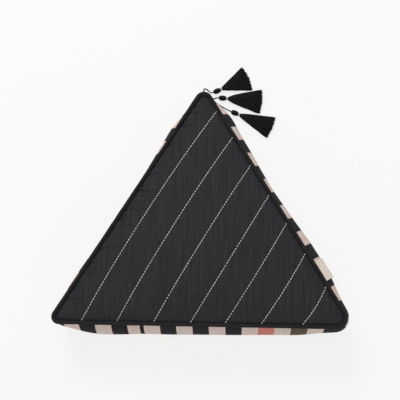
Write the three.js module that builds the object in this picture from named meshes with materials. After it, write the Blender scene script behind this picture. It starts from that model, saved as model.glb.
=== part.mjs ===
// A triangular boxed cushion lying on its back: two panels joined by a gusset, piped seams,
// seven sewn rows across the front, a plain side tab and three tassels at the apex.
// Millimetres. +Z is up, +X runs along the base side and +Y points to the apex.
import * as THREE from 'three';
import { mergeVertices } from 'three/addons/utils/BufferGeometryUtils.js';

// Driving dimensions of the cover, along its seams
const PANEL_BASE = 547;
const PANEL_HEIGHT = 443;
const BACK_SEAM_Z = 11;
const FRONT_SEAM_Z = 106.5;
const CROWN = 20;
const CROWN_FULLNESS = 0.65;
const SIDE_BULGE = 19;
const BULGE_FULLNESS = 0.8;
const BACK_ROLL = 38;
const PIECE_GAP = 0.3;

// Corner of the panel: radius of its seam, and how far the gusset stands past the seam there
const CORNERS = [
  { name: 'left', radius: 8, bulge: 9 },
  { name: 'right', radius: 14, bulge: 16 },
  { name: 'apex', radius: 11, bulge: 10 },
];

// Sewn row: where it starts along the base, where it ends along the right side, and its sideways bow
const SEWN_ROWS = [
  { alongBase: 56, alongSide: 49, bow: 6.4 },
  { alongBase: 121, alongSide: 108.5, bow: 3.9 },
  { alongBase: 189, alongSide: 172.5, bow: 1.6 },
  { alongBase: 256, alongSide: 239, bow: -0.8 },
  { alongBase: 319, alongSide: 301, bow: -1.6 },
  { alongBase: 385, alongSide: 366, bow: -2.4 },
  { alongBase: 459.5, alongSide: 437.5, bow: -3 },
];
const CHANNEL_DEPTH = 1.2;
const CHANNEL_HALF_WIDTH = 7;

// Piping: a round cord in a bias strip, lying on the seam
const PIPING_RADIUS = 3.4;
const PIPING_OUT = 3.0;
const PIPING_UP = 2.5;
const PIPING_SIDES = 8;
const PIPING_STEPS = 8;

// Side tab: a folded tape caught under the front piping of the right side
const TAB_ALONG_SIDE = 409;
const TAB_LENGTH = 41;
const TAB_THICK = 1.4;
const TAB_LEAN = { out: 0.6, up: 0.8 };
const TAB_STATIONS = [0, 0.25, 0.5, 0.75, 1];
const TAB_SECTION = [
  { out: 3.3, drop: 3.4 },
  { out: 11, drop: 7.2 },
  { out: 17.5, drop: 11.5 },
  { out: 22, drop: 17.5 },
];

// Tassel: cord route from the apex to the floor, then the lie of its skirt
const CORD_RADIUS = 1.1;
const CORD_SIDES = 8;
const CORD_STEPS = 16;
const HEAD_LENGTH = 16;
const HEAD_RADIUS = 5.6;
const NECK_LENGTH = 3.4;
const NECK_RADIUS = 3.2;
const SKIRT_START_RADIUS = 4.2;
const SKIRT_HEIGHT = 10;
const SKIRT_STATIONS = [0, 0.06, 0.15, 0.3, 0.5, 0.75, 1];
const SKIRT_FLARE = 0.85;
const SKIRT_TOUCHDOWN = 0.15;
const SKIRT_FLAT = 0.8;
const ROUND_SIDES = 12;
const HEAD_STEPS = 8;
const TASSELS = [
  {
    name: 'tassel_upper', turn: 24, skirtLength: 59, skirtWidth: 52, head: [22.5, 321.5],
    route: [[-3, 290.3, 62], [-3, 297, 63], [-2.5, 304.5, 60.5], [-1.5, 310.5, 51], [0.5, 315.5, 36],
      [3, 319, 20], [6, 319.6, 9.5], [10, 318, 6.2], [14.8, 318.1, 5.6]],
  },
  {
    name: 'tassel_middle', turn: -5, skirtLength: 69, skirtWidth: 47, head: [34, 306.5],
    route: [[3, 290, 47], [4, 296, 46.5], [6.5, 301, 40], [9, 302.5, 28], [13, 303, 15],
      [17.5, 304.5, 7.2], [21.5, 306.6, 5.8], [25.6, 307.25, 5.6]],
  },
  {
    name: 'tassel_lower', turn: -22, skirtLength: 70, skirtWidth: 42, head: [59.5, 275],
    route: [[6.1, 285.2, 26], [8, 289.5, 25.8], [12.5, 293.5, 22.5], [19, 294, 15.5], [27, 290.6, 9],
      [36, 286, 6.3], [44, 281.9, 5.7], [51.7, 278.1, 5.6]],
  },
];

// Panel triangle about its incentre, which is the origin
const sideLength = Math.hypot(PANEL_BASE / 2, PANEL_HEIGHT);
const inradius = (PANEL_BASE * PANEL_HEIGHT) / (PANEL_BASE + 2 * sideLength);
const left = new THREE.Vector2(-PANEL_BASE / 2, -inradius);
const right = new THREE.Vector2(PANEL_BASE / 2, -inradius);
const apex = new THREE.Vector2(0, PANEL_HEIGHT - inradius);
const acrossFromLeftSide = (PANEL_BASE * PANEL_HEIGHT) / sideLength;
const triangle = [left, right, apex];

// Each corner's arc: its centre on the bisector and its reach along the two sides
const arcs = triangle.map((corner, index) => {
  const radius = CORNERS[index].radius;
  const halfAngleSine = inradius / corner.length();
  const centre = corner.clone().multiplyScalar(1 - radius / halfAngleSine / corner.length());
  const reach = radius / Math.tan(Math.asin(halfAngleSine));
  return { centre, radius, reach, bulge: CORNERS[index].bulge };
});

// Rim of the panel in a direction from the origin: the seam point, its outward normal and gusset bulge
function rim(direction) {
  const unit = direction.clone().normalize();
  let best = null;
  triangle.forEach((start, index) => {
    const next = (index + 1) % 3;
    const along = triangle[next].clone().sub(start);
    const length = along.length();
    along.divideScalar(length);
    const normal = new THREE.Vector2(along.y, -along.x);
    const facing = unit.dot(normal);
    if (facing <= 0) return;
    const far = inradius / facing;
    if (best && best.far < far) return;
    best = { far, index, next, normal, length, run: unit.clone().multiplyScalar(far).sub(start).dot(along) };
  });
  const { index, next, normal, length, run, far } = best;
  const corner = run < arcs[index].reach ? index : length - run < arcs[next].reach ? next : -1;
  if (corner >= 0) {
    const { centre, radius, bulge } = arcs[corner];
    const middle = unit.dot(centre);
    const distance = middle + Math.sqrt(middle ** 2 - centre.lengthSq() + radius ** 2);
    const point = unit.multiplyScalar(distance);
    return { point, normal: point.clone().sub(centre).divideScalar(radius), bulge };
  }
  const share = (run - arcs[index].reach) / (length - arcs[index].reach - arcs[next].reach);
  const ends = THREE.MathUtils.lerp(arcs[index].bulge, arcs[next].bulge, share);
  const bulge = ends + (SIDE_BULGE - ends) * Math.sin(Math.PI * share) ** BULGE_FULLNESS;
  return { point: unit.multiplyScalar(far), normal, bulge };
}

// Closed solid from sheets of points: each sheet is a grid whose quads are split in two
function solidFromSheets(sheets) {
  const positions = [];
  sheets.forEach((rows) => {
    for (let i = 0; i + 1 < rows.length; i += 1) {
      for (let j = 0; j + 1 < rows[i].length; j += 1) {
        const [a, b, c, d] = [rows[i][j], rows[i][j + 1], rows[i + 1][j + 1], rows[i + 1][j]];
        [a, b, c, a, c, d].forEach((point) => positions.push(point.x, point.y, point.z));
      }
    }
  });
  const loose = new THREE.BufferGeometry();
  loose.setAttribute('position', new THREE.Float32BufferAttribute(positions, 3));
  const merged = mergeVertices(loose, 1e-3);
  const index = merged.getIndex().array;
  const kept = [];
  for (let t = 0; t < index.length; t += 3) {
    const [a, b, c] = [index[t], index[t + 1], index[t + 2]];
    if (a !== b && b !== c && c !== a) kept.push(a, b, c);
  }
  merged.setIndex(kept);
  merged.computeVertexNormals();
  return merged;
}

// Solid skinned over rings of points, with a fan at each end
function skinRings(rings) {
  const closed = rings.map((ring) => [...ring, ring[0]]);
  const first = closed[0].map(() => centreOf(rings[0]));
  const last = closed[0].map(() => centreOf(rings[rings.length - 1]));
  return solidFromSheets([[first, ...closed, last]]);
}

function centreOf(points) {
  const sum = points.reduce((total, point) => total.add(point), new THREE.Vector3());
  return sum.divideScalar(points.length);
}

// Lines across the panel, parallel to the left side: the sewn rows, their shoulders and lines between
const LEFT_INSETS = [0, 2, 5, 10, 18];
const RIGHT_CORNER_INSETS = [50, 30, 18, 10, 5, 2, 0];

function panelLines() {
  const plainLine = (at) => ({ at, depth: 0 });
  const leftLines = LEFT_INSETS.map((inset) => plainLine(() => inset / acrossFromLeftSide));
  const rightLines = RIGHT_CORNER_INSETS.map((inset) => plainLine(() => 1 - inset / acrossFromLeftSide));
  const shoulder = CHANNEL_HALF_WIDTH / acrossFromLeftSide;
  const lines = [...leftLines];
  let before = leftLines[leftLines.length - 1].at;
  SEWN_ROWS.forEach((row) => {
    const previous = before;
    const at = (v) => {
      const straight = THREE.MathUtils.lerp(row.alongBase / PANEL_BASE, row.alongSide / sideLength, v);
      return straight - (4 * v * (1 - v) * row.bow) / acrossFromLeftSide;
    };
    lines.push(plainLine((v) => (previous(v) + at(v)) / 2));
    lines.push(plainLine((v) => at(v) - shoulder));
    lines.push({ at, depth: CHANNEL_DEPTH });
    lines.push(plainLine((v) => at(v) + shoulder));
    before = at;
  });
  return [...lines, ...rightLines];
}

// Places along each line, closer together near the seams
const HALF_CROSSINGS = [0, 0.004, 0.01, 0.02, 0.04, 0.08, 0.16, 0.26, 0.38, 0.5];
const crossings = [...HALF_CROSSINGS, ...HALF_CROSSINGS.slice(0, -1).reverse().map((v) => 1 - v)];

// Panel points on a grid of lines and crossings, with a height from the shares of the three corners
function panelGrid(height) {
  return panelLines().map((line) => crossings.map((v) => {
    const u = line.at(v);
    const shares = [(1 - u) * (1 - v), u, (1 - u) * v];
    const flat = new THREE.Vector2();
    triangle.forEach((corner, index) => flat.addScaledVector(corner, shares[index]));
    flat.multiplyScalar(rimScale(flat));
    return new THREE.Vector3(flat.x, flat.y, height(shares, line.depth, v));
  }));
}

// How much the rounded rim shortens a ray of the sharp triangle
function rimScale(direction) {
  const unit = direction.clone().normalize();
  const sharpReach = Math.min(...triangle.map((start, index) => {
    const along = triangle[(index + 1) % 3].clone().sub(start).normalize();
    const facing = unit.x * along.y - unit.y * along.x;
    return facing > 0 ? inradius / facing : Infinity;
  }));
  return rim(direction).point.length() / sharpReach;
}

function frontHeight(shares, depth, v) {
  const fullness = Math.max(0, 27 * shares[0] * shares[1] * shares[2]) ** CROWN_FULLNESS;
  const sunk = depth * Math.min(1, 12 * v * (1 - v));
  return FRONT_SEAM_Z + CROWN * fullness - sunk;
}

const cornerHeights = triangle.map((corner, index) => (index === 2 ? PANEL_HEIGHT : acrossFromLeftSide));

function backHeight(shares) {
  const inset = Math.min(...shares.map((share, index) => Math.max(0, share) * cornerHeights[index]));
  return BACK_SEAM_Z * (1 - Math.min(1, inset / BACK_ROLL)) ** 2;
}

// Outline of a panel grid, anticlockwise seen from above: base, right side, then left side
function gridOutline(grid) {
  const lastCrossing = crossings.length - 1;
  const base = grid.map((line) => line[0]);
  const side = grid.map((line) => line[lastCrossing]).reverse();
  const leftSide = [...grid[0]].reverse();
  return [...base, ...side.slice(1), ...leftSide.slice(1)];
}

// Gusset rings as shares of the height from the back seam to the front seam
const GUSSET_LEVELS = [0, 0.05, 0.13, 0.25, 0.4, 0.6, 0.75, 0.87, 0.95, 1];

function cushionBody() {
  const front = panelGrid(frontHeight);
  const back = panelGrid(backHeight);
  const outline = gridOutline(front);
  const gusset = GUSSET_LEVELS.map((level) => outline.map((point) => {
    const { point: seam, normal, bulge } = rim(new THREE.Vector2(point.x, point.y));
    const out = level === 0 || level === 1 ? 0 : bulge * Math.sin(Math.PI * level) ** BULGE_FULLNESS;
    const place = seam.clone().addScaledVector(normal, out);
    return new THREE.Vector3(place.x, place.y, THREE.MathUtils.lerp(BACK_SEAM_Z, FRONT_SEAM_Z, level));
  }));
  return solidFromSheets([front.map((line) => [...line].reverse()), back, gusset]);
}

// Piping along a seam: rings about a closed path set off from the rim
function piping(z) {
  const stations = [];
  triangle.forEach((start, index) => {
    const next = (index + 1) % 3;
    const along = triangle[next].clone().sub(start).normalize();
    const from = new THREE.Vector2(along.y, -along.x);
    const runEnd = triangle[next].clone().addScaledVector(along, -arcs[next].reach);
    const runStart = start.clone().addScaledVector(along, arcs[index].reach);
    for (let step = 0; step < PIPING_STEPS; step += 1) {
      stations.push({ point: runStart.clone().lerp(runEnd, step / PIPING_STEPS), normal: from });
    }
    const after = triangle[(index + 2) % 3].clone().sub(triangle[next]).normalize();
    const to = new THREE.Vector2(after.y, -after.x);
    const sweep = Math.acos(from.dot(to));
    for (let step = 0; step < PIPING_STEPS; step += 1) {
      const normal = from.clone().rotateAround(new THREE.Vector2(), (sweep * step) / PIPING_STEPS);
      stations.push({ point: arcs[next].centre.clone().addScaledVector(normal, arcs[next].radius), normal });
    }
  });
  const rings = stations.map(({ point, normal }) => {
    const ring = [];
    for (let side = 0; side <= PIPING_SIDES; side += 1) {
      const angle = (2 * Math.PI * side) / PIPING_SIDES;
      const place = point.clone().addScaledVector(normal, PIPING_OUT + PIPING_RADIUS * Math.cos(angle));
      ring.push(new THREE.Vector3(place.x, place.y, z - PIPING_RADIUS * Math.sin(angle)));
    }
    return ring;
  });
  return solidFromSheets([[...rings, rings[0]]]);
}

// Folded tab: its section runs out and down from the seam, and it is swept along the right side
function sideTab() {
  const along = right.clone().sub(apex).normalize();
  const normal = new THREE.Vector2(-along.y, along.x);
  const upper = TAB_SECTION.map(({ out, drop }) => ({
    out: out + TAB_THICK * TAB_LEAN.out, drop: drop - TAB_THICK * TAB_LEAN.up,
  }));
  const section = [...TAB_SECTION, ...upper.reverse()];
  const rings = TAB_STATIONS.map((share) => {
    const run = apex.clone().addScaledVector(along, TAB_ALONG_SIDE + (share - 0.5) * TAB_LENGTH);
    return section.map(({ out, drop }) => {
      const place = run.clone().addScaledVector(normal, out);
      return new THREE.Vector3(place.x, place.y, FRONT_SEAM_Z - drop);
    });
  });
  return skinRings(rings);
}

// Round piece turned about its axis
function turned(profile) {
  const points = profile.map(([radius, along]) => new THREE.Vector2(radius, along));
  const geometry = new THREE.LatheGeometry(points, ROUND_SIDES);
  geometry.deleteAttribute('uv');
  geometry.deleteAttribute('normal');
  return mergeVertices(geometry, 1e-3);
}

function cordTube(route) {
  const curve = new THREE.CatmullRomCurve3(route.map((point) => new THREE.Vector3(...point)));
  const section = new THREE.Shape();
  section.absarc(0, 0, CORD_RADIUS, 0, 2 * Math.PI);
  return new THREE.ExtrudeGeometry(section, {
    extrudePath: curve, steps: CORD_STEPS, curveSegments: CORD_SIDES / 2, bevelEnabled: false,
  });
}

function headProfile() {
  const profile = [];
  for (let step = 0; step <= HEAD_STEPS; step += 1) {
    const angle = (Math.PI * step) / HEAD_STEPS;
    profile.push([HEAD_RADIUS * Math.sin(angle), (HEAD_LENGTH / 2) * (1 - Math.cos(angle))]);
  }
  return profile;
}

const NECK_RIM = 0.9 * NECK_RADIUS;
const neckProfile = [
  [0, 0], [NECK_RIM, 0], [NECK_RADIUS, NECK_LENGTH / 2], [NECK_RIM, NECK_LENGTH], [0, NECK_LENGTH],
];

// Skirt: yarns fan out from the neck and lie flat, so each section has a flat underside
function skirt({ skirtLength, skirtWidth }) {
  const rings = SKIRT_STATIONS.map((share) => {
    const halfWidth = THREE.MathUtils.lerp(SKIRT_START_RADIUS, skirtWidth / 2, share ** SKIRT_FLARE);
    const bottom = Math.max(0, (HEAD_RADIUS - SKIRT_START_RADIUS) * (1 - share / SKIRT_TOUCHDOWN));
    const height = THREE.MathUtils.lerp(2 * SKIRT_START_RADIUS, SKIRT_HEIGHT, Math.min(1, share * 2));
    const ring = [];
    for (let side = 0; side < ROUND_SIDES; side += 1) {
      const angle = (2 * Math.PI * side) / ROUND_SIDES;
      const level = Math.max(-SKIRT_FLAT, Math.sin(angle));
      const z = bottom + (height * (level + SKIRT_FLAT)) / (1 + SKIRT_FLAT);
      ring.push(new THREE.Vector3(share * skirtLength, halfWidth * Math.cos(angle), z));
    }
    return ring;
  });
  return skinRings(rings);
}

const fabric = {
  canvas: () => new THREE.MeshStandardMaterial({ color: '#343437', roughness: 0.95, metalness: 0 }),
  piping: () => new THREE.MeshStandardMaterial({ color: '#2b2b2d', roughness: 0.95, metalness: 0 }),
  yarn: () => new THREE.MeshStandardMaterial({ color: '#202123', roughness: 0.85, metalness: 0 }),
  thread: () => new THREE.MeshStandardMaterial({ color: '#cfc8bd', roughness: 0.7, metalness: 0 }),
  tape: () => new THREE.MeshStandardMaterial({ color: '#d3c6ba', roughness: 0.8, metalness: 0 }),
};

const cushion = new THREE.Group();

function addPiece(name, geometry, material, parent = cushion) {
  const mesh = new THREE.Mesh(geometry, material);
  mesh.name = name;
  parent.add(mesh);
  return mesh;
}

addPiece('cushion_body', cushionBody(), fabric.canvas());
addPiece('front_piping', piping(FRONT_SEAM_Z + PIPING_UP), fabric.piping());
addPiece('back_piping', piping(BACK_SEAM_Z - PIPING_UP), fabric.piping());
addPiece('side_tab', sideTab(), fabric.tape());

TASSELS.forEach((tassel) => {
  addPiece(`${tassel.name}_cord`, cordTube(tassel.route), fabric.yarn());
  const lie = new THREE.Group();
  lie.position.set(tassel.head[0], tassel.head[1], 0);
  lie.rotation.z = THREE.MathUtils.degToRad(tassel.turn);
  cushion.add(lie);
  const head = addPiece(`${tassel.name}_head`, turned(headProfile()), fabric.yarn(), lie);
  const neck = addPiece(`${tassel.name}_neck`, turned(neckProfile), fabric.thread(), lie);
  [head, neck].forEach((piece) => {
    piece.rotation.z = -Math.PI / 2;
  });
  head.position.set(-HEAD_LENGTH / 2, 0, HEAD_RADIUS);
  neck.position.set(HEAD_LENGTH / 2 + PIECE_GAP, 0, HEAD_RADIUS);
  const fan = addPiece(`${tassel.name}_skirt`, skirt(tassel), fabric.yarn(), lie);
  fan.position.set(HEAD_LENGTH / 2 + NECK_LENGTH + 2 * PIECE_GAP, 0, 0);
});

export default cushion;
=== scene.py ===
# %% [markdown]
# A triangular boxed cushion
#
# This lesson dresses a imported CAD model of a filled, triangular cushion that lies on its back: a charcoal
# canvas front with seven rows of running stitch, black piping, a block-striped side band, a plain folded
# tab and three yarn tassels at the apex. The CAD frame gives the sizes and places, and everything made
# here stays in that frame, in metres.

# %% Load the frame
import math

import bmesh
import bpy
import numpy as np
from mathutils import Matrix, Vector
from mathutils.bvhtree import BVHTree
from mathutils.kdtree import KDTree


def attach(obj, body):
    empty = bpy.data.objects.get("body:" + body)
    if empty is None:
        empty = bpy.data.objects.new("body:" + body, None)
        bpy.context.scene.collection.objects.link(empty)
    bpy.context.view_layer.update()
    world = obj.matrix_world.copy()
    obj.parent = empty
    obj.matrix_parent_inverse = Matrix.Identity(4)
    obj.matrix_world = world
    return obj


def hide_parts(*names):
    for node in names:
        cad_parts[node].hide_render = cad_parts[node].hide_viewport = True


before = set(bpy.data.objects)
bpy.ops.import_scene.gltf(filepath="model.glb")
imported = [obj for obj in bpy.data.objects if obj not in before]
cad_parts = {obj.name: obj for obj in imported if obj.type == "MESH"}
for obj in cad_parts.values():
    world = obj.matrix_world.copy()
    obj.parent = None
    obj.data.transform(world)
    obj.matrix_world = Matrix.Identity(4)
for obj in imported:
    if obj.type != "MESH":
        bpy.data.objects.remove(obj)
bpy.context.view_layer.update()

MM = 0.001
SEED = 7
scene = bpy.context.scene

# %% [markdown]
# The camera
#
# The cushion was seen from almost straight above its front, leaning a little towards the base side and
# the right. Setting the camera from an aim point, a distance and two lean angles keeps those four facts
# readable, which a bare matrix would hide. A long lens keeps the triangle's sides nearly true.

# %% Camera
FRAME_PIXELS = 400
FOCAL_PIXELS = 775.2
SENSOR_WIDTH = 36.0
AIM = Vector((-5.9, 84.0, 60.0)) * MM
DISTANCE = 1.5
LEAN_DOWN = math.radians(10.08)
LEAN_RIGHT = math.radians(2.56)
ROLL = math.radians(1.09)

toward = Vector((math.tan(LEAN_RIGHT), -math.tan(LEAN_DOWN), 1.0)).normalized()
level_right = Vector((0.0, 1.0, 0.0)).cross(toward).normalized()
level_up = toward.cross(level_right)
camera_right = level_right * math.cos(ROLL) + level_up * math.sin(ROLL)
camera_up = level_up * math.cos(ROLL) - level_right * math.sin(ROLL)
camera_data = bpy.data.cameras.new("camera")
camera_data.sensor_width = SENSOR_WIDTH
camera_data.lens = SENSOR_WIDTH * FOCAL_PIXELS / FRAME_PIXELS
camera = bpy.data.objects.new("camera", camera_data)
placing = Matrix((camera_right, camera_up, toward)).transposed().to_4x4()
placing.translation = AIM + toward * DISTANCE
camera.matrix_world = placing
scene.collection.objects.link(camera)
scene.camera = camera
print("lens %.1f mm, camera at" % camera_data.lens, [round(x, 3) for x in placing.translation])

# %% [markdown]
# Three small helpers
#
# Every mesh here is made from plain lists of points and faces, so one function turns those into an object
# at the origin. Colours are written as the hex values that an eye dropper shows, and one function turns
# them to the linear values that a shader needs. One more adds a node with its settings and links, and it
# serves shader trees and geometry trees alike.


# %% Helpers
def make_object(name, points, faces, smooth=True):
    mesh = bpy.data.meshes.new(name)
    mesh.from_pydata([tuple(p) for p in points], [], [tuple(f) for f in faces])
    mesh.validate()
    if smooth:
        mesh.shade_smooth()
    obj = bpy.data.objects.new(name, mesh)
    scene.collection.objects.link(obj)
    return obj


def linear(hex_colour):
    channels = [int(hex_colour[i:i + 2], 16) / 255 for i in (1, 3, 5)]
    return [c / 12.92 if c <= 0.04045 else ((c + 0.055) / 1.055) ** 2.4 for c in channels] + [1.0]


def add(tree, kind, feeds=None, **settings):
    node = tree.nodes.new(kind)
    for setting, value in settings.items():
        setattr(node, setting, value)
    for socket, value in (feeds or {}).items():
        if isinstance(value, bpy.types.NodeSocket):
            tree.links.new(value, node.inputs[socket])
        else:
            node.inputs[socket].default_value = value
    return node


# %% [markdown]
# The seam line
#
# A maker cuts two equal triangles with rounded corners, and everything else follows their seam: the
# piping, the side band, the puckers and the stripes. So the seam comes first, as a table walked
# anticlockwise from the apex, with each sample's place, outward normal, length so far and how far the
# side band swells there.

# %% Seam table
PANEL_BASE = 547.0
PANEL_HEIGHT = 443.0
BACK_SEAM_Z = 11.0
FRONT_SEAM_Z = 106.5
CORNERS = [
    {"name": "apex", "radius": 11.0},
    {"name": "left", "radius": 8.0},
    {"name": "right", "radius": 14.0},
]
BULGES = [
    {"side": "left", "share": (0, 0.06, 0.1, 0.15, 0.21, 0.32, 0.5, 0.65, 0.8, 0.88, 0.94, 1),
     "bulge": (10, 14, 18.4, 20.8, 19.2, 16, 14, 13.8, 16.6, 17.5, 12.5, 9)},
    {"side": "base", "share": (0, 0.06, 0.1, 0.15, 0.22, 0.3, 0.4, 0.5, 0.65, 0.78, 0.87, 0.94, 1),
     "bulge": (9, 17, 21.5, 24, 23.2, 21.5, 21.8, 21, 20.3, 18.6, 18.4, 14, 12)},
    {"side": "right",
     "share": (0, 0.06, 0.1, 0.15, 0.2, 0.3, 0.4, 0.5, 0.57, 0.65, 0.74, 0.83, 0.885, 0.94, 1),
     "bulge": (16, 17.5, 21, 24.5, 26, 25.4, 21.5, 18.5, 17, 18.3, 20.5, 21.4, 24, 21, 11)},
]
SAMPLE_STEP = 0.5

# %% Corners and sides
side_length = math.hypot(PANEL_BASE / 2, PANEL_HEIGHT)
inradius = PANEL_BASE * PANEL_HEIGHT / (PANEL_BASE + 2 * side_length)
across = PANEL_BASE * PANEL_HEIGHT / side_length
corner_points = np.array([
    (0.0, PANEL_HEIGHT - inradius), (-PANEL_BASE / 2, -inradius), (PANEL_BASE / 2, -inradius)])
corner_heights = np.array([PANEL_HEIGHT, across, across])
side_along = np.array([corner_points[(i + 1) % 3] - corner_points[i] for i in range(3)])
side_lengths = np.linalg.norm(side_along, axis=1)
side_along /= side_lengths[:, None]
side_normals = np.stack([side_along[:, 1], -side_along[:, 0]], axis=1)
half_sines = inradius / np.linalg.norm(corner_points, axis=1)
radii = np.array([corner["radius"] for corner in CORNERS])
reaches = radii / np.tan(np.arcsin(half_sines))
arc_centres = corner_points * (1 - radii / half_sines / np.linalg.norm(corner_points, axis=1))[:, None]


# %% Walk round the seam
def walk_seam():
    places, normals, bulges, starts, run = [], [], [], [], 0.0
    for i in range(3):
        after = (i + 1) % 3
        straight = side_lengths[i] - reaches[i] - reaches[after]
        starts.append(run)
        shares = np.arange(0, straight, SAMPLE_STEP) / straight
        first = corner_points[i] + side_along[i] * reaches[i]
        places.append(first + np.outer(shares * straight, side_along[i]))
        normals.append(np.repeat(side_normals[i][None], len(shares), axis=0))
        bulges.append(np.interp(shares, BULGES[i]["share"], BULGES[i]["bulge"]))
        turn = math.acos(np.dot(side_normals[i], side_normals[after]))
        angles = np.arange(0, turn, SAMPLE_STEP / (radii[after] + 6))
        begin = math.atan2(side_normals[i][1], side_normals[i][0])
        spokes = np.stack([np.cos(begin + angles), np.sin(begin + angles)], axis=1)
        places.append(arc_centres[after] + spokes * radii[after])
        normals.append(spokes)
        bulges.append(np.linspace(BULGES[i]["bulge"][-1], BULGES[after]["bulge"][0], len(angles)))
        run += straight + turn * radii[after]
    places, normals, bulges = np.concatenate(places), np.concatenate(normals), np.concatenate(bulges)
    soften = np.hanning(61) / np.hanning(61).sum()
    bulges = np.convolve(np.concatenate([bulges[-30:], bulges, bulges[:30]]), soften, "valid")
    steps = np.linalg.norm(np.diff(places, axis=0, append=places[:1]), axis=1)
    runs = np.concatenate([[0], np.cumsum(steps)])
    return {"place": places, "normal": normals, "bulge": bulges, "run": runs[:-1],
            "length": runs[-1], "starts": starts}


seam = walk_seam()


# %% Look up the seam
def seam_at(run):
    run = np.mod(run, seam["length"])
    knots = np.append(seam["run"], seam["length"])
    columns = np.column_stack([seam["place"], seam["normal"], seam["bulge"]])
    columns = np.vstack([columns, columns[:1]])
    found = np.stack([np.interp(run, knots, column) for column in columns.T], axis=-1)
    normal = found[..., 2:4] / np.linalg.norm(found[..., 2:4], axis=-1, keepdims=True)
    return found[..., :2], normal, found[..., 4]


seam_angle = np.unwrap(np.arctan2(seam["place"][:, 1], seam["place"][:, 0]))


def seam_run_of(places):
    angle = np.arctan2(places[:, 1], places[:, 0])
    angle = seam_angle[0] + np.mod(angle - seam_angle[0], 2 * np.pi)
    knots = np.append(seam_angle, seam_angle[0] + 2 * np.pi)
    return np.interp(angle, knots, np.append(seam["run"], seam["length"]))


print("seam length %.0f mm" % seam["length"])

# %% [markdown]
# Tassel cords
#
# Each tassel hangs on a short cord of three twisted plies that comes out of the side band's apex seam,
# falls to the floor and runs to the tassel's head. The route's points are those of the CAD cord. A bare
# round tube would look like wire, so each ply is its own helix round the route, and the three make one
# mesh.

# %% Cords
CORD_DIAMETER = 2.8
CORD_PITCH = 7.0
PLIES = 3
TASSELS = [
    {"name": "tassel_upper", "turn": 24, "length": 59, "width": 52, "bell": 0.95, "head": (22.5, 321.5),
     "route": [
        (-3, 290.3, 62), (-3, 297, 63), (-2.5, 304.5, 60.5), (-1.5, 310.5, 51), (0.5, 315.5, 36),
        (3, 319, 20), (6, 319.6, 9.5), (10, 318, 6.2), (14.8, 318.1, 5.6)]},
    {"name": "tassel_middle", "turn": -5, "length": 69, "width": 47, "bell": 0.76, "head": (34, 306.5),
     "route": [
        (3, 290, 47), (4, 296, 46.5), (6.5, 301, 40), (9, 302.5, 28), (13, 303, 15),
        (17.5, 304.5, 7.2), (21.5, 306.6, 5.8), (25.6, 307.25, 5.6)]},
    {"name": "tassel_lower", "turn": -22, "length": 70, "width": 42, "bell": 0.88, "head": (59.5, 275),
     "route": [
        (6.1, 285.2, 26), (8, 289.5, 25.8), (12.5, 293.5, 22.5), (19, 294, 15.5), (27, 290.6, 9),
        (36, 286, 6.3), (44, 281.9, 5.7), (51.7, 278.1, 5.6)]},
]


# %% Smooth route
def smooth_route(points, step):
    points = np.array(points, float)
    points = np.vstack([2 * points[0] - points[1], points, 2 * points[-1] - points[-2]])
    knots = np.concatenate([[0], np.cumsum(np.linalg.norm(np.diff(points, axis=0), axis=1) ** 0.5)])
    fine = []
    for i in range(1, len(points) - 2):
        t = np.linspace(knots[i], knots[i + 1], 24, endpoint=False)[:, None]
        k, p = knots[i - 1:i + 3], points[i - 1:i + 3]
        a = [((k[j + 1] - t) * p[j] + (t - k[j]) * p[j + 1]) / (k[j + 1] - k[j]) for j in range(3)]
        b = [((k[j + 2] - t) * a[j] + (t - k[j]) * a[j + 1]) / (k[j + 2] - k[j]) for j in range(2)]
        fine.append(((k[2] - t) * b[0] + (t - k[1]) * b[1]) / (k[2] - k[1]))
    fine = np.vstack(fine + [points[-2:-1]])
    runs = np.concatenate([[0], np.cumsum(np.linalg.norm(np.diff(fine, axis=0), axis=1))])
    wanted = np.linspace(0, runs[-1], max(2, int(runs[-1] / step)))
    return np.stack([np.interp(wanted, runs, fine[:, c]) for c in range(3)], axis=1), runs[-1]


def frames_along(path):
    tangents = np.gradient(path, axis=0)
    tangents /= np.linalg.norm(tangents, axis=1)[:, None]
    side = np.cross(tangents[0], (0.3, 0.1, 0.9))
    sides = []
    for tangent in tangents:
        side = side - tangent * np.dot(side, tangent)
        side /= np.linalg.norm(side)
        sides.append(side)
    sides = np.array(sides)
    return sides, np.cross(tangents, sides)


# %% Sweep a tube
def sweep(path, radius, round_sides, first_index=0):
    sides, ups = frames_along(path)
    turns = np.linspace(0, 2 * np.pi, round_sides, endpoint=False)
    radius = np.broadcast_to(radius, len(path))
    ring = np.cos(turns)[None, :, None] * sides[:, None] + np.sin(turns)[None, :, None] * ups[:, None]
    points = (path[:, None] + ring * radius[:, None, None]).reshape(-1, 3)
    faces = []
    for i in range(len(path) - 1):
        for j in range(round_sides):
            a, b = i * round_sides + j, i * round_sides + (j + 1) % round_sides
            faces.append((a, b, b + round_sides, a + round_sides))
    last = (len(path) - 1) * round_sides
    faces.append(tuple(range(round_sides))[::-1])
    faces.append(tuple(last + j for j in range(round_sides)))
    return points, [tuple(first_index + index for index in face) for face in faces]


# %% Twist three plies
def twisted_cord(name, route):
    path, length = smooth_route(route, 0.7)
    sides, ups = frames_along(path)
    ply_radius = CORD_DIAMETER / 2 * 0.47
    orbit = CORD_DIAMETER / 2 - ply_radius
    runs = np.linspace(0, length, len(path))
    points, faces = [], []
    for ply in range(PLIES):
        phase = 2 * np.pi * (runs / CORD_PITCH + ply / PLIES)
        line = path + orbit * (np.cos(phase)[:, None] * sides + np.sin(phase)[:, None] * ups)
        tube, tube_faces = sweep(line, ply_radius, 6, len(points) * len(path) * 6)
        points.append(tube)
        faces += tube_faces
    cord = make_object(name, np.vstack(points) * MM, faces)
    print(name, "%.1f mm long" % length)
    return cord, path * MM, length * MM


cords = {}
for tassel in TASSELS:
    cords[tassel["name"]] = twisted_cord(tassel["name"] + "_cord_twist", tassel["route"])

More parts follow.
